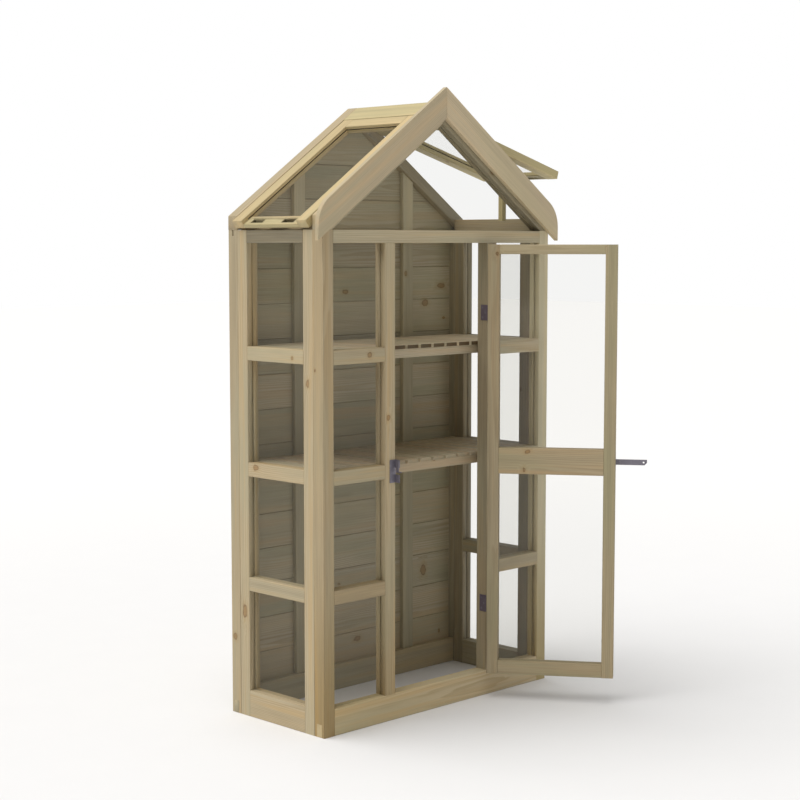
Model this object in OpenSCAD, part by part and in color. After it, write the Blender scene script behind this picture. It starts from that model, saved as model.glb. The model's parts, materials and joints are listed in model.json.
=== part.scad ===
// Tall narrow greenhouse of square timber: glazed front, sides and gable,
// boarded back, slatted shelves, hinged door, pitched roof with one opening sash.
// Millimetres, +Z up, front towards -Y. The origin is on the ground under the
// middle of the front frame.

/* [Overall] */
// width over the side panels
overall_width = 1030; // [860:1:1300]
// depth from the front face to the back of the rear posts
overall_depth = 438; // [380:1:560]
// height of the wall frames
eaves_height = 1540; // [1300:1:1800]
// slope of the roof in degrees
roof_pitch = 35; // [28:0.5:40]
// side of the square frame timber
timber = 44; // [38:1:50]

/* [Wall frames] */
// height of the bottom rails
bottom_rail_h = 84; // [60:1:110]
// height of the top rails
top_rail_h = 40; // [30:1:60]
// height of the rails between panes
glazing_rail_h = 44; // [30:1:60]
// clear width of each bay beside the door
bay_clear = 215.5; // [150:1:240]
// thickness of the tenons that show in the posts
tenon_t = 22; // [14:1:26]
// height of the tenons that show in the posts
tenon_h = 40; // [25:1:55]
// play around a tenon
tenon_play = 0.1; // [0.05:0.05:0.4]
// width of the open slot at the head of each rear post
head_slot_w = 7; // [4:0.5:12]
// height of the open slot at the head of each rear post
head_slot_h = 18; // [10:1:30]
// depth of the open slot at the head of each rear post
head_slot_d = 20; // [8:1:35]
// gap left at each plumb mitre of the ridge
mitre_gap = 0.4; // [0.2:0.1:1]
// distance of the gable pane's ends from the posts
gable_pane_gap = 2; // [1:0.5:10]

/* [Glazing] */
// thickness of the glass
pane_t = 3; // [2:0.5:5]
// depth of the wall glass behind the outer face
pane_setback = 20.5; // [14:0.5:36]
// depth of the glazing grooves
pane_bite = 6; // [4:0.5:9]
// play around the glass in its grooves
pane_play = 0.25; // [0.1:0.05:0.5]

/* [Back wall] */
// thickness of the boards
board_t = 10; // [8:0.5:16]
// height that each whole board covers
board_cover = 112.6; // [80:0.1:150]
// distance of the topmost wall joint below the eaves
board_top_drop = 10.2; // [0:0.1:40]
// gap between neighbouring boards
board_gap = 0.4; // [0.2:0.1:1.5]
// thickness of the board tongues
tongue_t = 3.2; // [2:0.1:4]
// height of the board tongues
tongue_h = 6; // [4:0.5:9]
// bevel along the edges of the boards
board_bevel = 2; // [0.5:0.25:3]
// distance of the boards from the back of the posts
board_inset = 10; // [4:0.5:14]
// how far the boards and the gable studs stop below the rear rafters
board_roof_gap = 1; // [0.5:0.5:6]
// width of the back studs
stud_w = 48; // [30:1:60]
// thickness of the back studs
stud_t = 16; // [12:1:30]
// distance of the back studs from the middle
stud_offset = 248; // [150:1:350]

/* [Roof] */
// depth of the front rafters, square to the slope
front_rafter_w = 59; // [48:1:75]
// depth of the rear rafters, square to the slope
rear_rafter_w = 39; // [32:1:60]
// height of the roof sashes above the eaves at the walls' outer faces
plate_edge_h = 11.2; // [6:0.1:20]
// distance of the eaves plates behind the walls' outer faces
plate_inset = 20; // [8:1:30]
// thickness of the roof sashes
sash_t = 27; // [24:0.5:34]
// width of the sash stiles
sash_stile_w = 44; // [34:1:55]
// width of the sash top rails
sash_top_rail_w = 44; // [30:1:60]
// width of the sash bottom rails
sash_bottom_rail_w = 44; // [36:1:60]
// how far the sashes reach out past the side panels
sash_overhang = 24; // [10:1:45]
// gap between a sash and the rafters beside it
sash_side_gap = 4; // [2:0.5:8]
// gap between a sash and its ridge board
sash_top_gap = 2.4; // [1.5:0.1:4]
// depth of the roof glass below the sash face
roof_pane_drop = 10; // [8:0.5:12]
// distance from the foot of the sash to the glass
pane_end_setback = 27; // [22:1:34]
// width of the drain notches
notch_w = 18; // [10:1:20]
// distance of the drain notches from the stiles
notch_side_gap = 28; // [6:0.5:40]
// distance between the two drain notches
notch_mid_gap = 88; // [30:1:110]
// width of the ridge boards down the slope
ridge_board_w = 74.5; // [60:0.5:100]
// height of the ridge strip at its middle
ridge_strip_h = 30; // [24:1:60]

/* [Bargeboards] */
// thickness of the bargeboards
barge_t = 18; // [14:1:28]
// width of the bargeboards
barge_w = 80; // [60:1:110]
// how far the bargeboards stand above the rafters
barge_rise = 34.5; // [10:0.5:45]
// how far the bargeboards reach past the posts
barge_overhang = 30; // [15:1:60]
// radius at the foot of the bargeboards
barge_round = 100; // [30:1:130]

/* [Hinges] */
// radius of the hinge knuckles
knuckle_r = 4; // [3:0.25:6]
// radius of the hinge pins
hinge_pin_r = 1.8; // [1.2:0.1:2.5]
// running clearance of the pins
pin_clear = 0.05; // [0.02:0.01:0.1]
// gap between neighbouring knuckles
knuckle_gap = 0.5; // [0.3:0.1:1]
// thickness of the hinge leaves
leaf_t = 1.4; // [1:0.1:1.5]
// width of the hinge leaves from the pin
leaf_w = 36; // [24:1:40]
// length of the upper door hinge and the vent hinges
hinge_l = 51; // [38:1:76]
// length of the lower door hinge
lower_hinge_l = 56; // [38:1:76]

/* [Opening sash] */
// gap left under the vent hinge leaves
leaf_seat_gap = 0.02; // [0.02:0.01:0.1]
// how far the sash stands open in degrees
vent_open_angle = 19.4; // [5:0.1:30]
// distance of the vent hinges from the ends of the sash
vent_hinge_inset = 66; // [40:1:110]
// side of the square stay
stay_w = 18; // [14:1:20]
// length of the stay below its bolt
stay_l = 210; // [120:1:240]
// distance of the stay bolt from the foot of the sash
stay_setback = 231; // [160:1:280]
// gap between the stay and what is beside it
stay_gap = 1; // [0.5:0.1:2]
// radius of the stay bolt
stay_bolt_r = 2.5; // [2:0.1:3]
// depth of the stay bolt in the stile
stay_bolt_bite = 24; // [15:1:34]
// radius of the stay bolt's head
stay_head_r = 5; // [4:0.5:8]
// thickness of the stay bolt's head
stay_head_t = 3; // [2:0.5:5]

/* [Door] */
// gap down each side of the door
door_side_gap = 3.5; // [3.3:0.1:6]
// gap under the door
door_foot_gap = 2; // [1:0.5:8]
// gap over the door
door_head_gap = 5; // [2:0.5:12]
// thickness of the door
door_t = 40; // [30:1:44]
// width of the door stiles
door_stile_w = 38; // [37:1:60]
// height of the door top rail
door_top_rail_h = 31; // [24:1:70]
// height of the door middle rail
door_mid_rail_h = 85; // [60:1:110]
// height of the middle rail's lower edge
door_mid_rail_z = 751; // [600:1:900]
// height of the door bottom rail
door_bottom_rail_h = 44; // [34:1:90]
// depth of the door glass behind the outer face
door_pane_setback = 22; // [12:1:26]
// how far the door stands open in degrees
door_open = 125.3; // [0:0.1:170]
// how far the hinge pins stand in front of the frame
door_pin_proud = 8; // [5:0.1:9]
// height of the middle of the upper hinge
upper_hinge_z = 1273; // [1200:1:1400]
// height of the middle of the lower hinge
lower_hinge_z = 308; // [200:1:400]

/* [Latch] */
// height of the latch bar's middle
latch_z = 792; // [780:0.5:810]
// height of the latch bar
bar_h = 18; // [12:1:24]
// thickness of the latch bar
bar_t = 5; // [3:0.5:6]
// reach of the bar past the edge of the door
bar_reach = 100; // [60:1:110]
// length of the bar on the door
bar_hold = 34; // [20:1:40]
// bevel under the tip of the bar
bar_bevel = 8; // [3:0.5:10]
// radius of the hole near the tip of the bar
bar_hole_r = 3; // [1.5:0.5:4]
// width of the striker plate
striker_w = 34; // [28:1:36]
// height of the striker plate
striker_h = 65; // [45:1:80]
// radius of the striker bolt heads
striker_bolt_r = 6; // [4:0.5:8]
// distance of the bolt heads from the edge of the striker plate
striker_bolt_inset = 1; // [0.5:0.5:6]
// thickness of the latch plates
latch_plate_t = 2.5; // [1.5:0.5:3]
// width of the catch plate
catch_w = 25; // [20:1:40]
// height of the catch
catch_h = 72; // [55:1:90]
// depth that the catch stands forward
catch_d = 21; // [16:1:28]
// gap over and under the bar in the catch
catch_gap = 2; // [1:0.5:4]
// distance of the catch from the edge of its mullion
catch_inset = 0.5; // [0:0.5:15]
// radius of the lever pin
lever_pin_r = 2; // [1.5:0.1:3]
// half width of the lever
lever_r = 5; // [4:0.5:6]
// length of the lever below its pin
lever_l = 34; // [24:1:40]
// distance of the lever's rim from the edges of the catch
lever_rim_gap = 1; // [0.5:0.5:3]
// gap between the lever and the shut bar
lever_bar_gap = 1; // [0.5:0.5:3]
// gap between the lever and the catch
lever_side_gap = 0.3; // [0.2:0.1:1]
// thickness of the lever's lifting tab
lever_tab_h = 4; // [2:0.5:6]
// reach of the lifting tab in front of the catch
lever_tab_reach = 10; // [5:1:16]

/* [Shelves] */
// number of rows of panes below the upper shelf
upper_shelf_pane_rows = 3; // [3:1:3]
// number of rows of panes below the lower shelf
lower_shelf_pane_rows = 2; // [1:1:2]
// height of the shelf bearers
bearer_h = 28; // [20:1:44]
// thickness of the shelf bearers
bearer_t = 16; // [12:1:25]
// thickness of the slats
slat_t = 12; // [8:1:20]
// width of the slats
slat_w = 49; // [30:1:50]
// how far the slats reach past the front bearer
slat_overhang = 9; // [4:0.5:20]
// gap between the last slats and the side panels
slat_end_gap = 2; // [1:0.5:10]

/* [Hidden] */
$fn = 48;
eps = 1;

half_w = overall_width / 2;
inner_x = half_w - timber;
mullion_x = inner_x - bay_clear;
jamb_x = mullion_x - timber;
front_y = -timber / 2;
front_inner_y = timber / 2;
back_y = front_y + overall_depth;
board_back_y = back_y - board_inset;
board_y = board_back_y - board_t;
rear_y = back_y - timber;
rear_mid_y = rear_y + timber / 2;
top_rail_z = eaves_height - top_rail_h;

pane_rows = 4;
pane_h = (top_rail_z - bottom_rail_h - (pane_rows - 1) * glazing_rail_h) / pane_rows;
pane_step = pane_h + glazing_rail_h;

slope = tan(roof_pitch);
plumb = 1 / cos(roof_pitch);
ridge_foot_x = ridge_board_w * cos(roof_pitch);
sash_x = ridge_foot_x + sash_top_gap * cos(roof_pitch);
sash_length = (half_w + sash_overhang - sash_x) / cos(roof_pitch);
sash_y0 = front_inner_y + sash_side_gap;
sash_y1 = rear_y - sash_side_gap;
sash_mid_y = (sash_y0 + sash_y1) / 2;
roof_pane_foot = sash_length - pane_end_setback;
bottom_rail_t = sash_t - roof_pane_drop - pane_t;
sash_rail_l = sash_y1 - sash_y0 - 2 * sash_stile_w;
notch_l = (sash_rail_l - 2 * notch_side_gap - notch_mid_gap) / 2;

vent_pin_s = -sash_top_gap / 2;
vent_slope = roof_pitch - vent_open_angle;
vent_pin_n = knuckle_r + leaf_seat_gap;
vent_pin_x = sash_x + vent_pin_s * cos(roof_pitch) + vent_pin_n * sin(roof_pitch);
vent_pin_z = roof_z(sash_x) - vent_pin_s * sin(roof_pitch) + vent_pin_n * cos(roof_pitch);
stay_n = -(roof_pane_drop + pane_t + stay_gap + stay_w / 2);
stay_y0 = sash_y0 + sash_stile_w + stay_gap;

door_x = jamb_x - door_side_gap;
door_z0 = bottom_rail_h + door_foot_gap;
door_z1 = top_rail_z - door_head_gap;
door_pin_x = jamb_x - door_side_gap / 2;
door_pin_y = front_y - door_pin_proud;
door_pane_y = front_y + door_pane_setback;
door_pane_x = door_x - door_stile_w;

bar_y1 = front_y - latch_plate_t;
bar_y0 = bar_y1 - bar_t;
catch_x = -jamb_x - catch_inset;
lever_y = front_y - catch_d + lever_r + lever_rim_gap;
lever_z = latch_z + catch_h / 2 - lever_r - lever_rim_gap;
lever_x = catch_x - latch_plate_t;
lever_stop_y = bar_y0 - lever_bar_gap;

upper_shelf_z = bottom_rail_h + upper_shelf_pane_rows * pane_step;
lower_shelf_z = bottom_rail_h + lower_shelf_pane_rows * pane_step;
slat_count = 16;
slat_span = 2 * (inner_x - slat_end_gap) - slat_w;
slat_pitch = slat_span / (slat_count - 1);

// height of the upper roof plane at a distance from the middle
function roof_z(x) = eaves_height + plate_edge_h + sash_t * plumb + (half_w - abs(x)) * slope;
// height of the eaves plates and of the underside of a closed sash
function plate_z(x) = roof_z(x) - sash_t * plumb;
// where a line this far below the roof plane meets the top of the walls
function seat_x(depth) = min(half_w, half_w + (roof_z(half_w) - eaves_height - depth) / slope);

// ---- shared shapes ----

module block(x0, x1, y0, y1, z0, z1) {
    translate([x0, y0, z0])
        cube([x1 - x0, y1 - y0, z1 - z0]);
}

module both_sides() {
    children();
    mirror([1, 0, 0]) children();
}

// an outline in X and Z, carried from y0 to y1
module slab_xz(y0, y1, outline) {
    translate([0, y1, 0])
        rotate([90, 0, 0])
            linear_extrude(height = y1 - y0)
                polygon(outline);
}

// an outline in Y and Z, carried from x0 to x1
module slab_yz(x0, x1, outline) {
    translate([x0, 0, 0])
        rotate([90, 0, 90])
            linear_extrude(height = x1 - x0)
                polygon(outline);
}

// one rod along X, Y or Z
module rod_z(r, length) {
    translate([0, 0, -length / 2])
        cylinder(r = r, h = length);
}

module rod_y(r, y0, y1) {
    translate([0, y1, 0])
        rotate([90, 0, 0])
            cylinder(r = r, h = y1 - y0);
}

module rod_x(r, x0, x1) {
    translate([x0, 0, 0])
        rotate([0, 90, 0])
            cylinder(r = r, h = x1 - x0);
}

// ---- glass, also used with play to cut its grooves ----

// a bay of panes in X: clear opening x0 to x1
module bay_panes_x(x0, x1, play) {
    for (row = [0 : pane_rows - 1]) {
        z0 = bottom_rail_h + row * pane_step;
        block(x0 - pane_bite - play, x1 + pane_bite + play,
              front_y + pane_setback - play, front_y + pane_setback + pane_t + play,
              z0 - pane_bite, z0 + pane_h + pane_bite + 2 * play - pane_play);
    }
}

module left_bay_glass(play) {
    bay_panes_x(-inner_x, -mullion_x, play);
}

// the panes of the left side panel
module side_glass(play) {
    for (row = [0 : pane_rows - 1]) {
        z0 = bottom_rail_h + row * pane_step;
        block(-half_w + pane_setback - play, -half_w + pane_setback + pane_t + play,
              front_inner_y + timber - pane_bite - play, rear_y - timber + pane_bite + play,
              z0 - pane_bite, z0 + pane_h + pane_bite + 2 * play - pane_play);
    }
}

module gable_glass(play) {
    side_x = inner_x - gable_pane_gap + play;
    drop = front_rafter_w * plumb - (pane_bite - pane_play + play) * plumb;
    slab_xz(front_y + pane_setback - play, front_y + pane_setback + pane_t + play, [
        [-side_x, eaves_height - pane_bite],
        [side_x, eaves_height - pane_bite],
        [side_x, roof_z(side_x) - drop],
        [0, roof_z(0) - drop],
        [-side_x, roof_z(side_x) - drop]
    ]);
}

// the two panes of the shut door
module door_glass(play) {
    rows = [
        [door_z0 + door_bottom_rail_h, door_mid_rail_z],
        [door_mid_rail_z + door_mid_rail_h, door_z1 - door_top_rail_h]
    ];
    for (row = rows)
        block(-door_pane_x - pane_bite - play, door_pane_x + pane_bite + play,
              door_pane_y - play, door_pane_y + pane_t + play,
              row[0] - pane_bite, row[1] + pane_bite + 2 * play - pane_play);
}

// the pane of a roof sash, in the sash's own place
module sash_glass(play) {
    block(sash_top_rail_w - pane_bite - play, roof_pane_foot + play,
          sash_y0 + sash_stile_w - pane_bite - play,
          sash_y1 - sash_stile_w + pane_bite + play,
          -roof_pane_drop - pane_t - play, -roof_pane_drop + play);
}

// ---- front frame ----

module front_left_post() {
    color("#b09f79") difference() {
        block(-half_w, -inner_x, front_y, front_inner_y, 0, eaves_height);
        post_mortise(0);
        left_bay_glass(pane_play);
    }
}

// the open slot at the foot of a left-hand post
module post_mortise(mid_y) {
    cheek = tenon_t / 2 + tenon_play;
    block(-half_w - eps, -inner_x + eps, mid_y - cheek, mid_y + cheek,
          -eps, tenon_h + tenon_play);
}

module front_right_post() {
    mirror([1, 0, 0]) front_left_post();
}

module left_mullion() {
    color("#a89770") difference() {
        block(-mullion_x, -jamb_x, front_y, front_inner_y, bottom_rail_h, top_rail_z);
        left_bay_glass(pane_play);
    }
}

module right_mullion() {
    mirror([1, 0, 0]) left_mullion();
}

// the bottom rail with its two tenons
module front_bottom_rail() {
    color("#a3926b") difference() {
        union() {
            block(-inner_x, inner_x, front_y, front_inner_y, 0, bottom_rail_h);
            block(-half_w, half_w, -tenon_t / 2, tenon_t / 2, 0, tenon_h);
        }
        both_sides() left_bay_glass(pane_play);
    }
}

module front_top_rail() {
    color("#a3926b") difference() {
        block(-inner_x, inner_x, front_y, front_inner_y, top_rail_z, eaves_height);
        both_sides() left_bay_glass(pane_play);
        gable_glass(pane_play);
    }
}

module left_bay_rails() {
    color("#a5946d") difference() {
        for (row = [1 : pane_rows - 1])
            block(-inner_x, -mullion_x, front_y, front_inner_y,
                  bottom_rail_h + row * pane_step - glazing_rail_h,
                  bottom_rail_h + row * pane_step);
        left_bay_glass(pane_play);
    }
}

module right_bay_rails() {
    mirror([1, 0, 0]) left_bay_rails();
}

module left_bay_panes() {
    color("#c9d6d0", 0.35) left_bay_glass(0);
}

module right_bay_panes() {
    color("#c9d6d0", 0.35) mirror([1, 0, 0]) left_bay_glass(0);
}

// ---- side panels ----

module left_side_stiles() {
    color("#beae87") difference() {
        union() {
            block(-half_w, -inner_x, front_inner_y, front_inner_y + timber, 0, eaves_height);
            block(-half_w, -inner_x, rear_y - timber, rear_y, 0, eaves_height);
        }
        side_glass(pane_play);
    }
}

module left_side_rails() {
    levels = [
        [0, bottom_rail_h],
        for (row = [1 : pane_rows - 1])
            [bottom_rail_h + row * pane_step - glazing_rail_h, bottom_rail_h + row * pane_step],
        [top_rail_z, eaves_height]
    ];
    color("#beae87") difference() {
        for (level = levels)
            block(-half_w, -inner_x, front_inner_y + timber, rear_y - timber,
                  level[0], level[1]);
        side_glass(pane_play);
    }
}

module left_side_panes() {
    color("#c9d6d0", 0.35) side_glass(0);
}

module right_side_stiles() {
    mirror([1, 0, 0]) left_side_stiles();
}

module right_side_rails() {
    mirror([1, 0, 0]) left_side_rails();
}

module right_side_panes() {
    mirror([1, 0, 0]) left_side_panes();
}

// ---- back frame ----

module rear_posts() {
    color("#b09f79") both_sides() difference() {
        block(-half_w, -inner_x, rear_y, back_y, 0, eaves_height);
        post_mortise(rear_mid_y);
        block(-half_w - eps, -half_w + head_slot_d,
              rear_mid_y - head_slot_w / 2, rear_mid_y + head_slot_w / 2,
              eaves_height - head_slot_h, eaves_height + eps);
    }
}

// the back rails stand in front of the boards
module rear_bottom_rail() {
    color("#a3926b") {
        block(-inner_x, inner_x, rear_y, board_y, 0, bottom_rail_h);
        block(-half_w, half_w, rear_mid_y - tenon_t / 2, rear_mid_y + tenon_t / 2, 0, tenon_h);
    }
}

module rear_top_rail() {
    color("#a3926b") block(-inner_x, inner_x, rear_y, board_y, top_rail_z, eaves_height);
}

module rear_studs() {
    color("#a89770") both_sides()
        block(-stud_offset - stud_w / 2, -stud_offset + stud_w / 2,
              board_y - stud_t, board_y, bottom_rail_h, top_rail_z);
}

board_top_z = eaves_height - board_top_drop;
// a lowest board shorter than this share of a whole one is left out
least_board = 0.3;
// number of boards that end below the eaves; the lowest fills what is left above the rail's ledge
wall_boards = ceil((board_top_z - tenon_h) / board_cover - least_board);
first_board_h = board_top_z - (wall_boards - 1) * board_cover;
// number of boards up to the ridge
all_boards = wall_boards
             + ceil((roof_z(0) - rear_rafter_w * plumb - board_roof_gap - board_top_z)
                    / board_cover);

// the lower edge of a board; the lowest stands on the bottom rail's ledge
function board_z(i) = i == 0 ? tenon_h : first_board_h + (i - 1) * board_cover;

// one tongued, grooved and bevelled board that reaches this far to each side
module back_board(i, reach) {
    z0 = board_z(i) + board_gap;
    z1 = board_z(i + 1);
    mid = board_t / 2;
    tongue = tongue_t / 2;
    groove = tongue + board_gap / 2;
    slab_yz(-reach, reach, [
        [board_y + board_bevel, z0],
        [board_y + mid - groove, z0],
        [board_y + mid - groove, z0 + tongue_h + board_gap],
        [board_y + mid + groove, z0 + tongue_h + board_gap],
        [board_y + mid + groove, z0],
        [board_back_y - board_bevel, z0],
        [board_back_y, z0 + board_bevel],
        [board_back_y, z1 - board_bevel],
        [board_back_y - board_bevel, z1],
        [board_y + mid + tongue, z1],
        [board_y + mid + tongue, z1 + tongue_h],
        [board_y + mid - tongue, z1 + tongue_h],
        [board_y + mid - tongue, z1],
        [board_y + board_bevel, z1],
        [board_y, z1 - board_bevel],
        [board_y, z0 + board_bevel]
    ]);
}

module back_boards() {
    color("#9b8c66") for (i = [0 : wall_boards - 1]) back_board(i, inner_x);
}

// the boards of the gable fit under the rear rafters and reach out over the posts
module gable_boards() {
    drop = rear_rafter_w * plumb + board_roof_gap;
    foot_x = seat_x(drop + board_roof_gap);
    foot_z = roof_z(foot_x) - drop;
    color("#9b8c66") intersection() {
        for (i = [wall_boards : all_boards - 1]) back_board(i, foot_x + eps);
        slab_xz(board_y - eps, board_back_y + eps, [
            [-inner_x, 0],
            [inner_x, 0],
            [inner_x, foot_z],
            [foot_x, foot_z],
            [0, roof_z(0) - drop],
            [-foot_x, foot_z],
            [-inner_x, foot_z]
        ]);
    }
}

// the studs of the gable stand on the top rail in line with those below
module gable_studs() {
    drop = rear_rafter_w * plumb + board_roof_gap;
    x0 = stud_offset - stud_w / 2;
    x1 = stud_offset + stud_w / 2;
    color("#a89770") both_sides() slab_xz(board_y - stud_t, board_y, [
        [x0, eaves_height],
        [x1, eaves_height],
        [x1, roof_z(x1) - drop],
        [x0, roof_z(x0) - drop]
    ]);
}

// ---- roof ----

// a rafter of one slope, square depth w
module rafter(w, y0, y1) {
    x0 = mitre_gap / 2;
    slab_xz(y0, y1, [
        [x0, roof_z(x0)],
        [half_w, roof_z(half_w)],
        [half_w, eaves_height],
        [seat_x(w * plumb), eaves_height],
        [x0, roof_z(x0) - w * plumb]
    ]);
}

module front_rafters() {
    color("#a5946d") difference() {
        both_sides() rafter(front_rafter_w, front_y, front_inner_y);
        gable_glass(pane_play);
    }
}

module gable_pane() {
    color("#c9d6d0", 0.35) gable_glass(0);
}

module rear_rafters() {
    color("#a5946d") both_sides() rafter(rear_rafter_w, rear_y, back_y);
}

// the right bargeboard: plumb at the ridge, rounded at its foot
module right_bargeboard() {
    x0 = mitre_gap / 2;
    tip_x = half_w + barge_overhang;
    rise = barge_rise * plumb;
    depth = barge_w * plumb;
    round_x = tip_x - barge_round;
    tangent = 90 - roof_pitch;
    round_z = roof_z_line(round_x + barge_round * cos(tangent)) + rise
              - barge_round * sin(tangent);
    steps = 12;
    color("#ac9e80") slab_xz(front_y - barge_t, front_y, [
        [x0, roof_z(x0) + rise],
        for (i = [0 : steps])
            [round_x + barge_round * cos(tangent * (1 - i / steps)),
             round_z + barge_round * sin(tangent * (1 - i / steps))],
        [tip_x, roof_z_line(tip_x) + rise - depth],
        [x0, roof_z(x0) + rise - depth]
    ]);
}

// the right roof plane, carried on past the wall
function roof_z_line(x) = roof_z(half_w) + (half_w - x) * slope;

module left_bargeboard() {
    mirror([1, 0, 0]) right_bargeboard();
}

module ridge_strip() {
    top_drop = sash_t * plumb;
    foot_z = roof_z(0) - top_drop - ridge_strip_h;
    color("#a3926b") slab_xz(front_inner_y, rear_y, [
        [-timber / 2, foot_z],
        [timber / 2, foot_z],
        [timber / 2, roof_z(timber / 2) - top_drop],
        [0, roof_z(0) - top_drop],
        [-timber / 2, roof_z(timber / 2) - top_drop]
    ]);
}

module ridge_boards() {
    x0 = mitre_gap / 2;
    color("#d3bf92") both_sides()
        slab_xz(front_inner_y, rear_y, [
            [x0, roof_z(x0)],
            [ridge_foot_x, roof_z(ridge_foot_x)],
            [ridge_foot_x - sash_t * sin(roof_pitch),
             roof_z(ridge_foot_x) - sash_t * cos(roof_pitch)],
            [x0, roof_z(x0) - sash_t * plumb]
        ]);
}

module eaves_plates() {
    outer_x = half_w - plate_inset;
    color("#b5a47c") both_sides()
        slab_xz(front_inner_y, rear_y, [
            [inner_x, eaves_height],
            [outer_x, eaves_height],
            [outer_x, plate_z(outer_x)],
            [inner_x, plate_z(inner_x)]
        ]);
}

// ---- a roof sash in its own place: X down the slope, Z out of it ----

module sash_stiles() {
    difference() {
        union() {
            block(0, sash_length, sash_y0, sash_y0 + sash_stile_w, -sash_t, 0);
            block(0, sash_length, sash_y1 - sash_stile_w, sash_y1, -sash_t, 0);
        }
        sash_glass(pane_play);
    }
}

module sash_top_rail() {
    difference() {
        block(0, sash_top_rail_w, sash_y0 + sash_stile_w, sash_y1 - sash_stile_w, -sash_t, 0);
        sash_glass(pane_play);
    }
}

module sash_bottom_rail() {
    difference() {
        block(sash_length - sash_bottom_rail_w, sash_length,
              sash_y0 + sash_stile_w, sash_y1 - sash_stile_w,
              -sash_t, -sash_t + bottom_rail_t);
        for (y0 = [sash_mid_y - notch_mid_gap / 2 - notch_l, sash_mid_y + notch_mid_gap / 2])
            block(roof_pane_foot, roof_pane_foot + notch_w, y0, y0 + notch_l,
                  -sash_t - eps, 0);
    }
}

module on_right_slope() {
    translate([sash_x, 0, roof_z(sash_x)])
        rotate([0, roof_pitch, 0]) children();
}

module on_left_slope() {
    mirror([1, 0, 0]) on_right_slope() children();
}

// the opening sash, turned up about its hinge pins
module vent_raised() {
    translate([vent_pin_x, 0, vent_pin_z])
        rotate([0, vent_slope, 0])
            translate([-vent_pin_s, 0, -vent_pin_n]) children();
}

module roof_sash_stiles() {
    color("#d3bf92") on_left_slope() sash_stiles();
}

module roof_sash_top_rail() {
    color("#d3bf92") on_left_slope() sash_top_rail();
}

module roof_sash_bottom_rail() {
    color("#d3bf92") on_left_slope() sash_bottom_rail();
}

module roof_sash_pane() {
    color("#c9d6d0", 0.35) on_left_slope() sash_glass(0);
}

module vent_stiles() {
    color("#d3bf92") difference() {
        vent_raised() sash_stiles();
        vent_raised() stay_pivot()
            rod_y(stay_bolt_r + pin_clear, stay_y0 - stay_gap - stay_bolt_bite - pin_clear,
                  stay_y0);
    }
}

module vent_top_rail() {
    color("#d3bf92") vent_raised() sash_top_rail();
}

module vent_bottom_rail() {
    color("#d3bf92") vent_raised() sash_bottom_rail();
}

module vent_pane() {
    color("#c9d6d0", 0.35) vent_raised() sash_glass(0);
}

// ---- butt hinges, pin along Z through the origin ----

// the knuckle lengths: two outer ones on the fixed leaf, the middle one on the moving leaf
module hinge_spans(length, fixed) {
    third = length / 3;
    if (fixed) {
        for (side = [-1, 1])
            translate([0, 0, side * third]) children();
    } else {
        children();
    }
}

// a leaf: plate given as [x0, x1, y0, y1], with its knuckles and pin or bore
module hinge_leaf(length, fixed, plate) {
    third = length / 3;
    difference() {
        union() {
            block(plate[0], plate[1], plate[2], plate[3], -length / 2, length / 2);
            hinge_spans(length, fixed) rod_z(knuckle_r, third - knuckle_gap);
        }
        hinge_spans(length, !fixed) rod_z(knuckle_r + knuckle_gap, third + knuckle_gap);
        if (!fixed) rod_z(hinge_pin_r + pin_clear, length + 2 * eps);
    }
    if (fixed) rod_z(hinge_pin_r, length);
}

// ---- the opening sash's hinges and stay ----

module vent_hinge_places() {
    translate([vent_pin_x, 0, vent_pin_z])
        for (mid_y = [sash_y0 + vent_hinge_inset, sash_y1 - vent_hinge_inset])
            translate([0, mid_y, 0])
                rotate([90, 0, 0]) children();
}

module vent_hinge_bases() {
    color("#5f5569") vent_hinge_places() rotate([0, 0, -roof_pitch])
        hinge_leaf(hinge_l, true, [-leaf_w, 0, -knuckle_r, leaf_t - knuckle_r]);
}

module vent_hinge_leaves() {
    color("#5f5569") vent_hinge_places() rotate([0, 0, -vent_slope])
        hinge_leaf(hinge_l, false, [0, leaf_w, -knuckle_r, leaf_t - knuckle_r]);
}

// the stay's pivot in the sash's own place
module stay_pivot() {
    translate([sash_length - stay_setback, 0, stay_n]) children();
}

module stay_bolt() {
    color("#5f5569") vent_raised() stay_pivot() {
        rod_y(stay_bolt_r, stay_y0 - stay_gap - stay_bolt_bite,
              stay_y0 + stay_w + stay_gap / 2 + stay_head_t / 2);
        rod_y(stay_head_r, stay_y0 + stay_w + stay_gap / 2,
              stay_y0 + stay_w + stay_gap / 2 + stay_head_t);
    }
}

// the stay hangs plumb from its bolt
module vent_stay() {
    color("#b5a47c") vent_raised() stay_pivot() rotate([0, -vent_slope, 0])
        difference() {
            union() {
                block(-stay_w / 2, stay_w / 2, stay_y0, stay_y0 + stay_w, -stay_l, 0);
                rod_y(stay_w / 2, stay_y0, stay_y0 + stay_w);
            }
            rod_y(stay_bolt_r + pin_clear, stay_y0 - eps, stay_y0 + stay_w + eps);
        }
}

// ---- door: made shut, then swung open ----

module door_swung() {
    translate([door_pin_x, door_pin_y, 0])
        rotate([0, 0, door_open])
            translate([-door_pin_x, -door_pin_y, 0]) children();
}

module door_member(x0, x1, z0, z1) {
    door_swung() difference() {
        block(x0, x1, front_y, front_y + door_t, z0, z1);
        door_glass(pane_play);
    }
}

module door_hinge_stile() {
    color("#a08e6a") door_member(door_pane_x, door_x, door_z0, door_z1);
}

module door_latch_stile() {
    color("#a08e6a") door_member(-door_x, -door_pane_x, door_z0, door_z1);
}

module door_top_rail() {
    color("#a08e6a") door_member(-door_pane_x, door_pane_x,
                                 door_z1 - door_top_rail_h, door_z1);
}

module door_mid_rail() {
    color("#a08e6a") door_member(-door_pane_x, door_pane_x, door_mid_rail_z,
                                 door_mid_rail_z + door_mid_rail_h);
}

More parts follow.
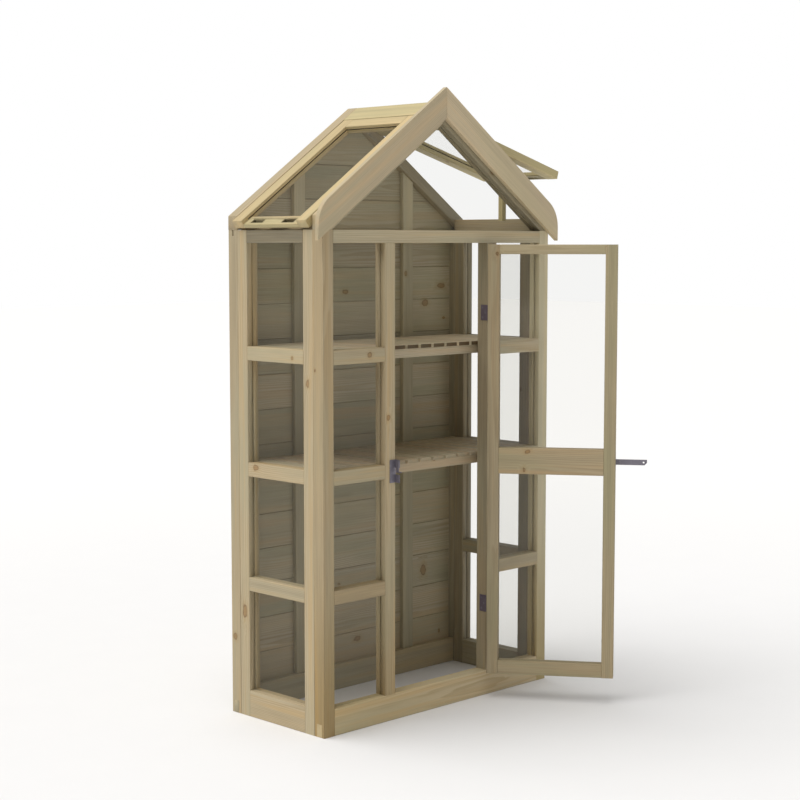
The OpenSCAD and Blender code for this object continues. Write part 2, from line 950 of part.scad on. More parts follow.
module door_bottom_rail() {
    color("#a08e6a") door_member(-door_pane_x, door_pane_x, door_z0,
                                 door_z0 + door_bottom_rail_h);
}

module door_panes() {
    color("#c9d6d0", 0.35) door_swung() door_glass(0);
}

module door_hinge_places() {
    translate([door_pin_x, door_pin_y, upper_hinge_z]) children(0);
    translate([door_pin_x, door_pin_y, lower_hinge_z]) children(1);
}

// the hinge leaf lies on the face of the gap that it belongs to
leaf_out = door_side_gap / 2;

module jamb_hinges() {
    plate = [leaf_out - leaf_t, leaf_out, 0, leaf_w];
    color("#5f5569") door_hinge_places() {
        hinge_leaf(hinge_l, true, plate);
        hinge_leaf(lower_hinge_l, true, plate);
    }
}

module door_hinge_leaves() {
    plate = [-leaf_out, leaf_t - leaf_out, 0, leaf_w];
    color("#5f5569") door_swung() door_hinge_places() {
        hinge_leaf(hinge_l, false, plate);
        hinge_leaf(lower_hinge_l, false, plate);
    }
}

// ---- latch: a bar on the door, a catch and a drop lever on the frame ----

module striker_plate() {
    bolt_z = (striker_h / 2 + bar_h / 2) / 2;
    color("#3b3646") door_swung() {
        block(-door_x, -door_x + striker_w, bar_y1, front_y,
              latch_z - striker_h / 2, latch_z + striker_h / 2);
        for (side = [-1, 1])
            translate([-door_x + striker_bolt_r + striker_bolt_inset, 0, latch_z + side * bolt_z])
                rod_y(striker_bolt_r, bar_y0, bar_y1);
    }
}

module latch_bar() {
    tip_x = -door_x - bar_reach;
    z0 = latch_z - bar_h / 2;
    z1 = latch_z + bar_h / 2;
    color("#3b3646") door_swung() difference() {
        slab_xz(bar_y0, bar_y1, [
            [tip_x, z0 + bar_bevel],
            [tip_x + bar_bevel, z0],
            [-door_x + bar_hold, z0],
            [-door_x + bar_hold, z1],
            [tip_x, z1]
        ]);
        translate([tip_x + bar_bevel + bar_hole_r, 0, latch_z])
            rod_y(bar_hole_r, bar_y0 - eps, bar_y1 + eps);
    }
}

module latch_catch() {
    z0 = latch_z - catch_h / 2;
    z1 = latch_z + catch_h / 2;
    slot = bar_h / 2 + catch_gap;
    color("#5f5569") difference() {
        union() {
            block(catch_x - catch_w, catch_x, bar_y1, front_y, z0, z1);
            block(catch_x - latch_plate_t, catch_x, front_y - catch_d, front_y, z0, z1);
            translate([0, lever_y, lever_z])
                rod_x(lever_pin_r, catch_x - 2 * latch_plate_t - 2 * lever_side_gap, catch_x);
        }
        block(catch_x - latch_plate_t - eps, catch_x + eps,
              front_y - catch_d - eps, bar_y1, latch_z - slot, latch_z + slot);
    }
}

// the lever hangs from its pin in front of the shut bar, with a tab to lift it by
module latch_lever() {
    x1 = lever_x - lever_side_gap;
    x0 = x1 - latch_plate_t;
    color("#3b3646") difference() {
        union() {
            translate([0, lever_y, lever_z]) rod_x(lever_r, x0, x1);
            block(x0, x1, lever_y - lever_r, lever_stop_y, lever_z - lever_l, lever_z);
            block(x0, x1, front_y - catch_d - lever_tab_reach, lever_y,
                  lever_z - lever_l, lever_z - lever_l + lever_tab_h);
        }
        translate([0, lever_y, lever_z])
            rod_x(lever_pin_r + pin_clear, x0 - eps, x1 + eps);
    }
}

// ---- shelves ----

module shelf_bearers(top_z) {
    color("#a3926b") {
        z1 = top_z - slat_t;
        bearer_y = front_inner_y + slat_overhang;
        block(-inner_x, inner_x, bearer_y, bearer_y + bearer_t, z1 - bearer_h, z1);
        block(-inner_x, inner_x, rear_y - bearer_t, rear_y, z1 - bearer_h, z1);
    }
}

module shelf_slats(top_z) {
    color("#9b8c66") for (i = [0 : slat_count - 1]) {
        x0 = -inner_x + slat_end_gap + i * slat_pitch;
        block(x0, x0 + slat_w, front_inner_y, rear_y, top_z - slat_t, top_z);
    }
}

module upper_shelf_bearers() {
    shelf_bearers(upper_shelf_z);
}

module upper_shelf_slats() {
    shelf_slats(upper_shelf_z);
}

module lower_shelf_bearers() {
    shelf_bearers(lower_shelf_z);
}

module lower_shelf_slats() {
    shelf_slats(lower_shelf_z);
}

front_left_post();
front_right_post();
left_mullion();
right_mullion();
front_top_rail();
front_bottom_rail();
left_bay_rails();
right_bay_rails();
left_bay_panes();
right_bay_panes();
left_side_stiles();
left_side_rails();
left_side_panes();
right_side_stiles();
right_side_rails();
right_side_panes();
rear_posts();
rear_studs();
rear_bottom_rail();
rear_top_rail();
back_boards();
gable_boards();
gable_studs();
front_rafters();
gable_pane();
rear_rafters();
left_bargeboard();
right_bargeboard();
ridge_strip();
ridge_boards();
eaves_plates();
roof_sash_stiles();
roof_sash_top_rail();
roof_sash_bottom_rail();
roof_sash_pane();
upper_shelf_bearers();
upper_shelf_slats();
lower_shelf_bearers();
lower_shelf_slats();
vent_hinge_bases();
jamb_hinges();
latch_catch();
vent_stiles();
vent_top_rail();
vent_bottom_rail();
vent_pane();
vent_hinge_leaves();
stay_bolt();
vent_stay();
door_hinge_stile();
door_latch_stile();
door_top_rail();
door_mid_rail();
door_bottom_rail();
door_panes();
door_hinge_leaves();
striker_plate();
latch_bar();
latch_lever();
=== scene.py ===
"""Tall narrow timber greenhouse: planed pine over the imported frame, glass, hinges and latch."""

import json
import math
import random

import bmesh
import bpy
from mathutils import Matrix, Vector


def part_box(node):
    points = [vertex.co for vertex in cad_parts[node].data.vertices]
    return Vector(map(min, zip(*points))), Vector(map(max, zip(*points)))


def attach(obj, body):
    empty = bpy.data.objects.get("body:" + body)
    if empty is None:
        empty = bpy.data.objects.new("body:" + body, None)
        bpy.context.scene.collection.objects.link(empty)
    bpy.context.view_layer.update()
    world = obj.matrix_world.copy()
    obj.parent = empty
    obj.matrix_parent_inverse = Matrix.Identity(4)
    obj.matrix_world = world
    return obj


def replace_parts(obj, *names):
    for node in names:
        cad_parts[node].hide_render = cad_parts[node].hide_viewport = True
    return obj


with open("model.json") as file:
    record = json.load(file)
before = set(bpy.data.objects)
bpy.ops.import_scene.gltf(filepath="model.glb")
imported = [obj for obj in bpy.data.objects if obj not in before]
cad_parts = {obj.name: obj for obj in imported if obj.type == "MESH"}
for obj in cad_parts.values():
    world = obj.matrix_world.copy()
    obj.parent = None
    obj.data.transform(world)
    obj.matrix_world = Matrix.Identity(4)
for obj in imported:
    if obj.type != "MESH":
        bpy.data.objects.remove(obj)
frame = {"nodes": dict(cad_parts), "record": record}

MM = 0.001
NODES = frame["nodes"]
BODY_OF = {
    node: body
    for body, members in frame["record"]["behaviour"]["bodies"].items()
    for node in members
}
SLOT_OF = {row["node"]: row["material_slot"] for row in frame["record"]["subparts"]}
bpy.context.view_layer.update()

# ---- solids, their grain and their outlines ----

WELD = 0.01 * MM  # corners nearer than this are one
FLAT_ANGLE = math.radians(0.6)  # faces that turn less than this are one
SHARP_ANGLE = math.radians(28)  # edges that turn more than this are arrises
ALONG_GRAIN = 0.98  # cosine past which an edge runs along the grain
OFF_GRAIN = 0.2  # cosine under which a face lies along the grain
SAWN_FACING = 0.5  # cosine past which a face is a sawn end
FRONT_FACING = 0.9  # cosine past which a face looks to the front or the back
CORNER_REACH = 0.1 * MM  # how near a long edge lies to a corner of the outline
OUTLINE_REACH = 0.3 * MM  # how near an end's edge lies to the outline
STRAIGHT = 1e-9  # an outline that turns less than this has no corner


def refresh(bm):
    """Brings normals and numbers up to date after the mesh has changed."""
    bm.normal_update()
    for seq in (bm.verts, bm.edges, bm.faces):
        seq.index_update()


def clean_copy(node):
    """A node's mesh with its doubles merged and its flat faces whole."""
    bm = bmesh.new()
    bm.from_mesh(NODES[node].data)
    bmesh.ops.remove_doubles(bm, verts=bm.verts, dist=WELD)
    bmesh.ops.dissolve_limit(
        bm, angle_limit=FLAT_ANGLE, use_dissolve_boundaries=False,
        verts=bm.verts, edges=bm.edges,
    )
    refresh(bm)
    return bm


def solids_of(bm):
    """The separate solids of a mesh, each as a list of its vertices."""
    seen, found = set(), []
    for start in bm.verts:
        if start in seen:
            continue
        seen.add(start)
        solid, todo = [], [start]
        while todo:
            v = todo.pop()
            solid.append(v)
            for e in v.link_edges:
                other = e.other_vert(v)
                if other not in seen:
                    seen.add(other)
                    todo.append(other)
        found.append(solid)
    return found


def edges_of(solid):
    """All the edges of a solid."""
    return {e for v in solid for e in v.link_edges}


def edge_way(e):
    """The way an edge runs."""
    return (e.verts[1].co - e.verts[0].co).normalized()


def forwards(way):
    """The same line, pointing the way of its longest part."""
    return -way if max(way, key=abs) < 0 else way


def grain_axes(solid):
    """The way the grain runs in a solid, and the two ways across it."""
    longest = max(edges_of(solid), key=lambda e: (round(e.calc_length(), 5), e.index))
    along = forwards(edge_way(longest))
    sides = {f for v in solid for f in v.link_faces if abs(f.normal.dot(along)) < OFF_GRAIN}
    broadest = max(sides, key=lambda f: (round(f.calc_area(), 7), f.index)).normal
    across = forwards((broadest - along * broadest.dot(along)).normalized())
    return along, across, along.cross(across)


def hull(points):
    """The corners of the convex outline round 2-D points."""
    pts = sorted({(round(x, 6), round(y, 6)) for x, y in points})

    def half(seq):
        """The half of the outline that lies to one side of the points."""
        out = []
        for p in seq:
            while len(out) > 1 and (
                (out[-1][0] - out[-2][0]) * (p[1] - out[-2][1])
                - (out[-1][1] - out[-2][1]) * (p[0] - out[-2][0])
            ) <= STRAIGHT:
                out.pop()
            out.append(p)
        return out[:-1]

    return half(pts) + half(pts[::-1])


class Section:
    """A solid's outline as it shows when the solid is cut across the grain."""

    def __init__(self, solid):
        self.along, self.across, self.third = grain_axes(solid)
        self.corners = hull([self.flatten(v.co) for v in solid])

    def flatten(self, co):
        """Where a point lies in the cut."""
        return co.dot(self.across), co.dot(self.third)

    def middle(self, e):
        """Where the middle of an edge lies in the cut."""
        return self.flatten((e.verts[0].co + e.verts[1].co) / 2)

    def at_corner(self, e):
        """True if an edge lies on one of the outline's corners."""
        p = Vector(self.middle(e))
        return min((p - Vector(c)).length for c in self.corners) < CORNER_REACH

    def at_outline(self, e):
        """True if an edge lies on one of the outline's sides."""
        x, y = self.middle(e)
        for a, b in zip(self.corners, self.corners[1:] + self.corners[:1]):
            side = Vector((b[0] - a[0], b[1] - a[1]))
            off = side.x * (y - a[1]) - side.y * (x - a[0])
            if abs(off) / side.length < OUTLINE_REACH:
                return True
        return False


# ---- planed timber ----

ARRIS_R = 2.2 * MM  # rounding along the timbers
SLAT_ARRIS_R = 1.6 * MM  # rounding of the thin stuff
ARRIS_FACETS = 3
SAWN_R = 0.7 * MM  # rounding around the sawn ends
SAWN_FACETS = 1
TIMBER_ROUND_W = 1.4 * MM  # faces narrower than this are roundings
OUTLINED = {"left_bargeboard", "right_bargeboard"}
PLAIN = {"back_boards", "gable_boards"}
THIN = {
    "upper_shelf_slats",
    "lower_shelf_slats",
    "upper_shelf_bearers",
    "lower_shelf_bearers",
    "vent_stay",
    "ridge_boards",
}
TONE_AND_SHADE_OF = {  # how much darker and warmer some timbers are, from the lowest up, left to right; inside the house and under the vent the darkness is partly painted shade
    "rear_studs": [(1.3, -1.8)],
    "gable_studs": [(-1.7, -2.6)],
    "gable_boards": [(-0.6, -1.2)],
    "left_side_stiles": [(0.2, 0.3), (-0.4, -0.3)],
    "left_side_rails": [(-0.3, -0.3), (0.4, -0.3), (0.0, 0.0), (-0.7, 0.3), (3.2, -0.6)],
    "right_side_stiles": [(1.8, -0.6)],
    "right_side_rails": [(1.8, -0.6)] * 4 + [(3.4, 0.0)],
    "rear_posts": [(0.0, 0.0), (1.4, -1.4)],
    "rear_bottom_rail": [(0.2, -1.6)],
    "vent_stiles": [(0.0, -1.6)],
    "vent_top_rail": [(0.3, -1.4)],
    "vent_bottom_rail": [(2.4, -1.8)],
    "vent_stay": [(-1.6, -2.6)],
    "front_rafters": [(0.0, 0.0), (2.2, -0.8)],
    "rear_rafters": [(0.0, 0.0), (1.6, -1.8)],
    "front_left_post": [(0.3, 0.9)],
    "front_right_post": [(-2.1, -1.6)],
    "right_mullion": [(1.2, -0.5)],
    "left_bay_rails": [(0.5, 1.1)],
    "front_bottom_rail": [(-2.0, -0.5)],
    "door_hinge_stile": [(1.6, -0.7)],
    "door_latch_stile": [(0.9, 0.1)],
    "door_mid_rail": [(0.7, 0.0)],
    "door_bottom_rail": [(0.7, 0.0)],
    "left_bargeboard": [(0.6, 0.0)],
    "right_bargeboard": [(-0.5, 0.0)],
}
DAMP_FEET = {  # how far damp has come into the left and the right end of each
    "front_left_post": (1.0, 1.0),
    "front_right_post": (1.0, 1.0),
    "left_mullion": (0.6, 0.6),
    "front_bottom_rail": (0.6, 0.0),
}
# how strongly the sawn ends of each node are stained, and darkened further as painted shade
ENDS_STAIN_AND_SHADE = {"upper_shelf_slats": 1.0, "lower_shelf_slats": 0.3}
LOG_REACH = 20.0  # how far along its log, each way, a timber may be cut
PITH_OFF = (0.03, 0.11)  # how far off the log's pith a timber is cut
HUE_SPREAD = 0.7  # how much cooler or warmer a log may be


def soften(bm, edges, radius, facets):
    """Rounds edges, in the given number of facets."""
    bmesh.ops.bevel(
        bm, geom=edges, offset=radius, segments=facets, profile=0.5,
        affect="EDGES", clamp_overlap=True,
    )


def convex(e):
    """True if an edge is an arris, which stands out and is sharp."""
    return len(e.link_faces) == 2 and e.is_convex and e.calc_face_angle(0) > SHARP_ANGLE


def borders(e, way, cosine):
    """True if just one of an arris's two faces looks the given way."""
    first, second = (abs(f.normal.dot(way)) > cosine for f in e.link_faces)
    return first != second


def round_outline(bm):
    """Rounds a board's edges all round its front and its back."""
    front = Vector((0, 1, 0))
    edges = [e for e in bm.edges if convex(e) and borders(e, front, FRONT_FACING)]
    soften(bm, edges, ARRIS_R, ARRIS_FACETS)


def round_arrises(bm, radius):
    """Rounds the long edges of every solid, then eases the edges of its sawn ends."""
    long_edges = []
    for solid in solids_of(bm):
        section = Section(solid)
        for e in filter(convex, edges_of(solid)):
            if abs(edge_way(e).dot(section.along)) > ALONG_GRAIN and section.at_corner(e):
                long_edges.append(e)
    soften(bm, long_edges, radius, ARRIS_FACETS)
    end_edges = []
    for solid in solids_of(bm):
        section = Section(solid)
        for e in filter(convex, edges_of(solid)):
            if borders(e, section.along, SAWN_FACING) and section.at_outline(e):
                end_edges.append(e)
    soften(bm, end_edges, SAWN_R, SAWN_FACETS)


def place_of(solid):
    """A solid's lowest corner, as height, then left to right, then front to back."""
    return [round(min(v.co[i] for v in solid), 4) for i in (2, 0, 1)]


def lay_grain(bm, node):
    """Writes onto each solid's vertices where in its log it was cut, its tone, which is partly
    painted shade on the inside timbers, and its damp.
    """
    draw = random.Random("timber " + node)
    tones_and_shade = TONE_AND_SHADE_OF.get(node, [(0.0, 0.0)])
    left_damp, right_damp = DAMP_FEET.get(node, (0.0, 0.0))
    end_stain_and_shade = ENDS_STAIN_AND_SHADE.get(node, 0.0)
    grain = bm.verts.layers.float_vector.new("grain")
    way = bm.verts.layers.float_vector.new("way")
    tone = bm.verts.layers.float.new("tone")
    tint = bm.verts.layers.float.new("tint")
    damp = bm.verts.layers.float.new("damp")
    for number, solid in enumerate(sorted(solids_of(bm), key=place_of)):
        # darker is the log's own tone, and for the timbers inside and under the vent painted
        # shade as well
        darker, warmer = tones_and_shade[min(number, len(tones_and_shade) - 1)]
        along, across, third = grain_axes(solid)
        middle = sum((v.co for v in solid), Vector()) / len(solid)
        start = draw.uniform(-LOG_REACH, LOG_REACH)
        pith = Vector((draw.uniform(*PITH_OFF), 0, 0))
        pith.rotate(Matrix.Rotation(draw.uniform(0, 2 * math.pi), 3, "Z"))
        shade = draw.random() - darker
        hue = draw.uniform(-HUE_SPREAD, HUE_SPREAD) + warmer
        for v in solid:
            off = v.co - middle
            v[grain] = (
                off.dot(along) + start,
                off.dot(across) + pith.x,
                off.dot(third) + pith.y,
            )
            v[way] = along * end_stain_and_shade
            v[tone] = shade
            v[tint] = hue
            v[damp] = left_damp if v.co.x < 0 else right_damp


def narrowest(f):
    """The length of a face's shortest edge."""
    return min(e.calc_length() for e in f.edges)


def put(name, data):
    """A new object in the scene."""
    thing = bpy.data.objects.new(name, data)
    bpy.context.scene.collection.objects.link(thing)
    return thing


def settle(mesh, name, body):
    """Puts a finished mesh in the scene as a piece on a body."""
    piece = put(name, mesh)
    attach(piece, body)
    return piece


def take_place(bm, node, kind, finish):
    """Puts a worked copy of a node in the scene, in the node's place."""
    mesh = bpy.data.meshes.new(node + kind)
    bm.to_mesh(mesh)
    bm.free()
    mesh.materials.append(finish)
    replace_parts(settle(mesh, node + kind, BODY_OF[node]), node)


def timber_piece(node, finish):
    """A planed copy of a timber node."""
    bm = clean_copy(node)
    if node in OUTLINED:
        round_outline(bm)
    elif node not in PLAIN:
        round_arrises(bm, SLAT_ARRIS_R if node in THIN else ARRIS_R)
    refresh(bm)
    lay_grain(bm, node)
    for f in bm.faces:
        f.smooth = f.calc_area() > 0 and narrowest(f) < TIMBER_ROUND_W
    take_place(bm, node, "_timber", finish)


# ---- node trees ----

MIX_INPUTS, MIX_RESULT = (0, 6, 7), 2  # where a mix node has its colours


class Tree:
    """A node tree, with short ways to add nodes to it."""

    def __init__(self, tree):
        self.tree = tree

    def feed(self, socket, value):
        """Links a socket to another's output, or sets its value."""
        if isinstance(value, bpy.types.NodeSocket):
            self.tree.links.new(value, socket)
        else:
            socket.default_value = value

    def node(self, kind, settings=None, **sockets):
        """A new node with its settings, and its sockets by name."""
        n = self.tree.nodes.new(kind)
        for key, value in (settings or {}).items():
            setattr(n, key, value)
        for key, value in sockets.items():
            self.feed(n.inputs[key.replace("_", " ")], value)
        return n

    def math(self, operation, a, b=0.0, clamp=False):
        """Arithmetic on numbers."""
        n = self.node("ShaderNodeMath", {"operation": operation, "use_clamp": clamp})
        self.feed(n.inputs[0], a)
        self.feed(n.inputs[1], b)
        return n.outputs[0]


class Shader(Tree):
    """A material's node tree."""

    def __init__(self, name):
        self.material = bpy.data.materials.new(name)
        self.material.use_nodes = True
        super().__init__(self.material.node_tree)
        self.tree.nodes.clear()

    def attribute(self, name, output="Fac"):
        """What lay_grain wrote onto the vertices under a name."""
        return self.node("ShaderNodeAttribute", {"attribute_name": name}).outputs[output]

    def place(self):
        """Where on the piece a point lies."""
        return self.node("ShaderNodeTexCoord").outputs["Object"]

    def vector(self, operation, a, b=(0, 0, 0)):
        """Arithmetic on vectors or colours."""
        n = self.node("ShaderNodeVectorMath", {"operation": operation})
        self.feed(n.inputs[0], a)
        self.feed(n.inputs[1], b)
        return n.outputs["Value" if operation in ("LENGTH", "DOT_PRODUCT") else "Vector"]

    def scaled(self, vector, by):
        """A vector or colour times a number."""
        n = self.node("ShaderNodeVectorMath", {"operation": "SCALE"}, Scale=by)
        self.feed(n.inputs[0], vector)
        return n.outputs["Vector"]

    def noise(self, vector, scale=1.0, detail=2.0, roughness=0.5):
        """A cloudy pattern, about 0.5 on the whole."""
        n = self.node(
            "ShaderNodeTexNoise", Vector=vector, Scale=scale, Detail=detail, Roughness=roughness
        )
        return n.outputs["Fac"]

    def spread(self, value, low, high, to_low=0.0, to_high=1.0, smooth=False):
        """Takes a value from one range to another, and holds it at the ends."""
        n = self.node(
            "ShaderNodeMapRange", {"interpolation_type": "SMOOTHSTEP" if smooth else "LINEAR"}
        )
        for socket, v in zip(n.inputs, (value, low, high, to_low, to_high)):
            self.feed(socket, v)
        return n.outputs[0]

    def mix(self, factor, a, b):
        """One colour going over into another."""
        n = self.node("ShaderNodeMix", {"data_type": "RGBA"})
        for index, value in zip(MIX_INPUTS, (factor, a, b)):
            self.feed(n.inputs[index], value)
        return n.outputs[MIX_RESULT]

    def stained(self, share, wood, stain):
        """The wood with a share of it multiplied by a stain."""
        return self.mix(share, wood, self.vector("MULTIPLY", wood, stain))

    def surface(self, shader):
        """Ends the tree with its shader, and gives the finished material."""
        self.node("ShaderNodeOutputMaterial", Surface=shader)
        return self.material


def colour(r, g, b):
    """An sRGB colour, 0 to 255, as the linear colour a shader takes."""
    parts = (c / 255 for c in (r, g, b))
    linear = (c / 12.92 if c <= 0.04045 else ((c + 0.055) / 1.055) ** 2.4 for c in parts)
    return (*linear, 1.0)


# ---- pine ----

# how fine each pattern is, along the grain and across it
SWAY_SCALE = (1.6, 14, 14)
FIBRE_SCALE = (7, 420, 420)
BAND_SCALE = (1.1, 38, 38)
STAIN_SCALE = (2.0, 7.5, 7.5)
NOISE_LOW, NOISE_HIGH = 0.3, 0.7  # a noise mostly lies between these

RING_STEP = 5.0 * MM  # width of a year's growth
RING_DARKENS = (0.25, 0.86)  # part of the year over which the wood darkens
RING_CLEARS = (0.9, 1.0)  # part of the year over which it turns light again
RING_SWAY = 22 * MM  # how far the rings wander
KNOT_PUSH = 0.9  # how far a knot pushes the rings, to its radius
KNOT_PUSH_REACH = 4.5  # how far off it still pushes them, to its radius

KNOT_CELLS = (3.4, 9.5, 9.5)  # knots to a metre along and across
KNOT_STRETCH = (0.6, 1.0, 1.0)  # knots are longer along the grain
KNOT_R = (3.0 * MM, 10.0 * MM)
KNOT_SHARE = 0.36  # share of the cells with a knot
KNOT_RAGGED = (0.78, 1.3)  # how far a knot's outline wavers, to its radius
RAGGED_SCALE = 70.0
KNOT_EDGE = (0.6, 1.15)  # where a knot gives way to the wood, to its radius
RIM_IN, RIM_OUT = (0.62, 0.95), (1.0, 1.25)  # where its dark rim comes and goes
HALO_OUT = (0.9, 2.6)  # where the stain around it fades
KNOT_RINGS = 3.2  # rings in a knot
RING_EDGES = (0.1, 0.9)  # part of each over which it darkens
KNOT_HEART = (0.86, 0.74, 0.60)  # what a knot leaves of the colour of the wood
KNOT_RING = (0.68, 0.56, 0.44)
KNOT_RIM = (0.50, 0.40, 0.32)
KNOT_HALO = (0.94, 0.86, 0.72)
RIM_SHARE = 0.8  # how strong a knot's rim is
HALO_SHARE = 0.6  # how strong the stain around it is
FAR_OFF = 50.0  # a knot this many times its own size away doesn't show
FRAME_KNOTS = (  # place, half its width and half its height
    ((-0.515, 0.350, 0.337), 10 * MM, 20 * MM),
    ((-0.515, 0.398, 0.248), 9 * MM, 11 * MM),
    ((-0.515, 0.117, 1.151), 5 * MM, 5 * MM),
    ((-0.515, 0.290, 0.800), 12 * MM, 8 * MM),
    ((-0.321, -0.022, 1.159), 9 * MM, 7 * MM),
    ((-0.241, -0.022, 0.961), 7 * MM, 9 * MM),
    ((0.471, 0.299, 1.410), 12 * MM, 12 * MM),
    ((0.237, 0.380, 1.395), 6 * MM, 8 * MM),
)
BOARD_KNOTS = (
    ((0.340, 0.396, 0.346), 13 * MM, 20 * MM),
    ((0.421, 0.396, 0.114), 4 * MM, 7 * MM),
    ((0.337, 0.396, 0.065), 5 * MM, 5 * MM),
    ((0.348, 0.396, 1.291), 15 * MM, 10 * MM),
    ((0.427, 0.396, 1.350), 18 * MM, 8 * MM),
)
DOOR_KNOTS = (
    ((0.245, -0.169, 0.825), 10 * MM, 6 * MM),
    ((0.239, -0.161, 0.765), 6 * MM, 9 * MM),
    ((0.186, -0.086, 1.465), 6 * MM, 8 * MM),
)

CLEAR_STAINS = (0.35, 0.65)  # where on the stains the rings show most and least
RING_SHOWS = (1.4, 0.7)  # how strongly they show there, to the timber's contrast
COOL_PATCH = (0.40, 0.66)  # where on the stains the wood turns cool
WARM_PATCH = (0.47, 0.68)  # where on the bands it turns warm
PATCH_SHARE = 0.75  # how much of the cool and the warm colour a patch takes
LOG_SHARE = 0.8  # how much of them the coolest and the warmest log takes
LOG_HUES = 2  # how warm the warmest log is
LOG_TONES = (-2, 3)  # tone of the darkest and the lightest log
LOG_LIGHT = (0.58, 1.38)  # how light each of them comes out
BAND_LIGHT = 0.11  # how much the bands darken and lighten the wood
FIBRE_LIGHT = 0.08  # how much the fibres do
DAMP_RISE = (0.05, 0.6)  # height up to which the damp is full, and where it ends
DAMP_STAIN = (0.82, 0.74, 0.55)  # what the damp leaves of the colour of the foot
SAWN_STAIN_AND_SHADE = (0.20, 0.155, 0.09)  # what the stain and the painted shade leave of the colour of a sawn end
SHADE_REACH = 4 * MM  # how far from an inner corner the painted shade reaches
SHADE_FULL = 0.05  # open no more than this to the air, the painted shade is at its darkest
SHADE_GONE = 0.9  # open this much or more, it has no painted shade
SHADE_LEAVES = 0.5  # what the darkest painted shade leaves of the colour
AIR_SAMPLES = 6
PLANED_GLOSS = (0.56, 0.7)  # roughness from band to band
RELIEF = 0.25 * MM  # depth of the fibres and the rings
RELIEF_STRENGTH = 0.35
FIBRE_RELIEF, RING_RELIEF = 0.6, 0.4  # shares of it


def knots_near(s, grain, at, placed, share):
    """How far off the nearest knot is, to its own size, and how big it is."""
    cells = s.vector("MULTIPLY", grain, KNOT_CELLS)
    cell = s.node("ShaderNodeTexVoronoi", {"feature": "F1"}, Vector=cells, Scale=1.0)
    off = s.vector("SUBTRACT", cell.outputs["Position"], cells)
    off = s.vector("MULTIPLY", off, tuple(1 / c for c in KNOT_CELLS))
    off = s.vector("MULTIPLY", off, KNOT_STRETCH)
    ragged = s.noise(grain, scale=RAGGED_SCALE, detail=3.0)
    ragged = s.spread(ragged, NOISE_LOW, NOISE_HIGH, *KNOT_RAGGED)
    away = s.math("MULTIPLY", s.vector("LENGTH", off), ragged)
    chance = s.node("ShaderNodeSeparateColor", Color=cell.outputs["Color"])
    empty = s.math("LESS_THAN", chance.outputs[0], 1 - share)
    knot_r = s.spread(chance.outputs[1], 0, 1, *KNOT_R)
    knot_at = s.math("DIVIDE", away, knot_r)
    knot_at = s.math("ADD", knot_at, s.math("MULTIPLY", empty, FAR_OFF))
    for place, wide, tall in placed:
        off = s.vector("SUBTRACT", at, place)
        off = s.vector("MULTIPLY", off, (1 / wide, 1 / wide, 1 / tall))
        away = s.math("MULTIPLY", s.vector("LENGTH", off), ragged)
        knot_at = s.math("MINIMUM", knot_at, away)
    return knot_at, knot_r


def growth_rings(s, grain, knot_at, knot_r):
    """Growth rings round the pith, pushed aside by the knots."""
    sway = s.noise(s.vector("MULTIPLY", grain, SWAY_SCALE), detail=3.0)
    swirl = s.spread(knot_at, 0.0, KNOT_PUSH_REACH, 1.0, 0.0, smooth=True)
    swirl = s.math("MULTIPLY", swirl, knot_r)
    radius = s.vector("LENGTH", s.vector("MULTIPLY", grain, (0, 1, 1)))
    radius = s.math("ADD", radius, s.math("MULTIPLY", sway, RING_SWAY))
    radius = s.math("ADD", radius, s.math("MULTIPLY", swirl, KNOT_PUSH))
    year = s.math("FRACT", s.math("DIVIDE", radius, RING_STEP))
    return s.math(
        "MULTIPLY",
        s.spread(year, *RING_DARKENS, smooth=True),
        s.spread(year, *RING_CLEARS, 1.0, 0.0, smooth=True),
    )


def with_knots(s, wood, knot_at):
    """The wood with its knots: a dark rim, a red-brown heart and a stain around."""
    inside = s.spread(knot_at, *KNOT_EDGE, 1.0, 0.0, smooth=True)
    rim = s.math(
        "MULTIPLY",
        s.spread(knot_at, *RIM_IN, smooth=True),
        s.spread(knot_at, *RIM_OUT, 1.0, 0.0, smooth=True),
    )
    halo = s.spread(knot_at, *HALO_OUT, HALO_SHARE, 0.0, smooth=True)
    rings = s.math("FRACT", s.math("MULTIPLY", knot_at, KNOT_RINGS))
    rings = s.spread(rings, *RING_EDGES, smooth=True)
    heart = s.mix(rings, (*KNOT_HEART, 1), (*KNOT_RING, 1))
    wood = s.stained(halo, wood, KNOT_HALO)
    wood = s.stained(inside, wood, heart)
    return s.stained(s.math("MULTIPLY", rim, RIM_SHARE), wood, KNOT_RIM)


